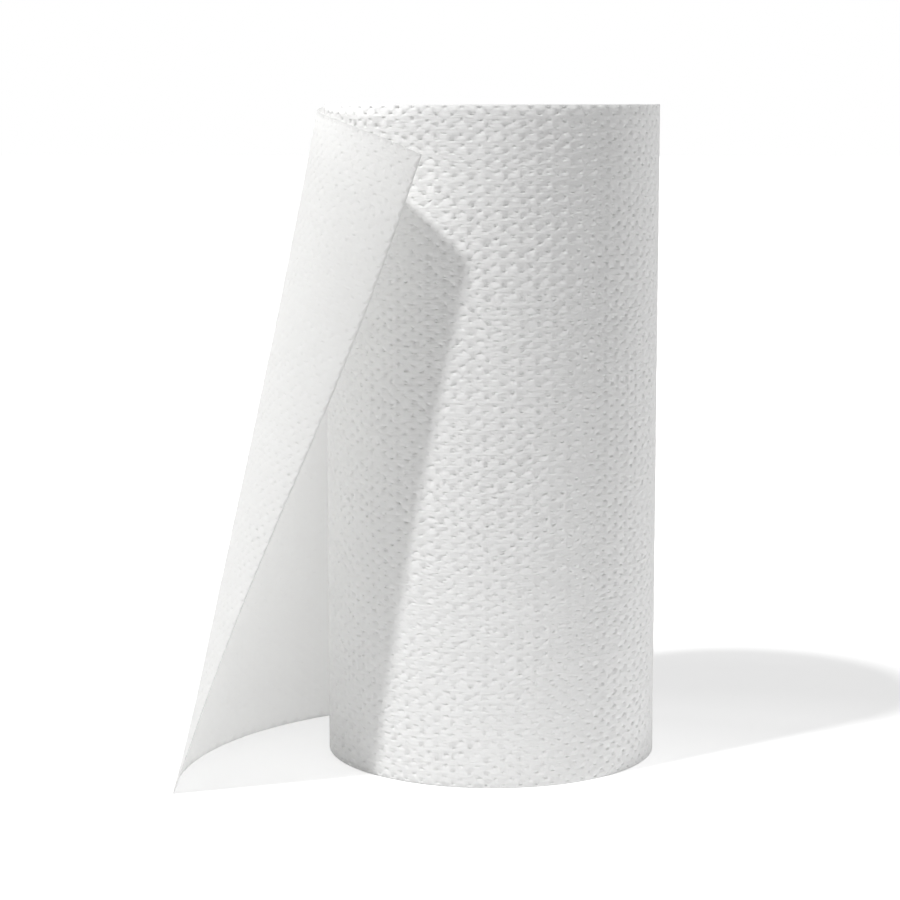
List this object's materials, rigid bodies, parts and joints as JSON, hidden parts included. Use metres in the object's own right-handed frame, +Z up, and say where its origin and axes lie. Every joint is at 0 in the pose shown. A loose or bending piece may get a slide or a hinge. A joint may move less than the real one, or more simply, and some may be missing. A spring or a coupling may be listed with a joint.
{
  "type": "paper towel roll",
  "caption": "Upright roll of embossed white paper towel on a paperboard core, with its loose last sheet standing open beside it.",
  "frame": {"origin": "on the roll's axis, in the plane of its lower end, which it stands on", "axes": "+Z up along the core's axis; -Y is the front, where the loose sheet's torn edge crosses the roll; the loose sheet stands out towards -X"},
  "size_m": [0.2021, 0.1583, 0.2794],
  "materials": {
    "paper": "matt, soft, embossed with a fine dimple all over",
    "core": "matt, plain, with the spiral seam of its plies"
  },
  "bodies": {
    "root": {"paper_roll": "paper", "core_tube": "core"}
  },
  "joints": []
}
